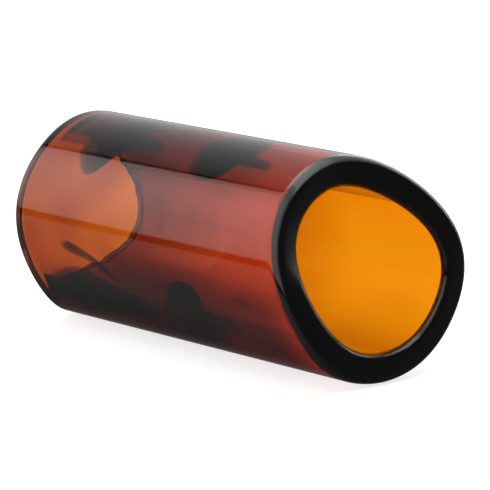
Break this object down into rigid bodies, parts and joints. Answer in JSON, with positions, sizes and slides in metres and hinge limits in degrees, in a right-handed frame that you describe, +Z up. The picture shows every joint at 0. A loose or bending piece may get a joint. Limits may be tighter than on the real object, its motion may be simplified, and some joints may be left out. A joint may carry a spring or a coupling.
{
  "type": "guitar slide",
  "caption": "Heavy-wall amber glass tube slide with black rims, dark streaks, a finger bore and a slanted knuckle end.",
  "frame": {"origin": "centre of the slide's bounding box, on the tube's axis", "axes": "+X along the bore, out of the slanted knuckle end; +Z up; -Y the side that faces forward"},
  "size_m": [0.059, 0.028, 0.028],
  "materials": {
    "amber_glass": "polished transparent amber glass",
    "rim_glass": "flame-polished black glass",
    "smoke_glass": "smoky dark glass melted flush into the wall"
  },
  "bodies": {
    "root": {"amber_tube": "amber_glass", "knuckle_rim": "rim_glass", "tip_rim": "rim_glass", "streak_top_tip_end": "smoke_glass", "streak_top_knuckle_end": "smoke_glass", "streak_bottom_tip_end": "smoke_glass", "streak_bottom_knuckle_end": "smoke_glass", "streak_fine_tip_end": "smoke_glass"}
  },
  "joints": []
}
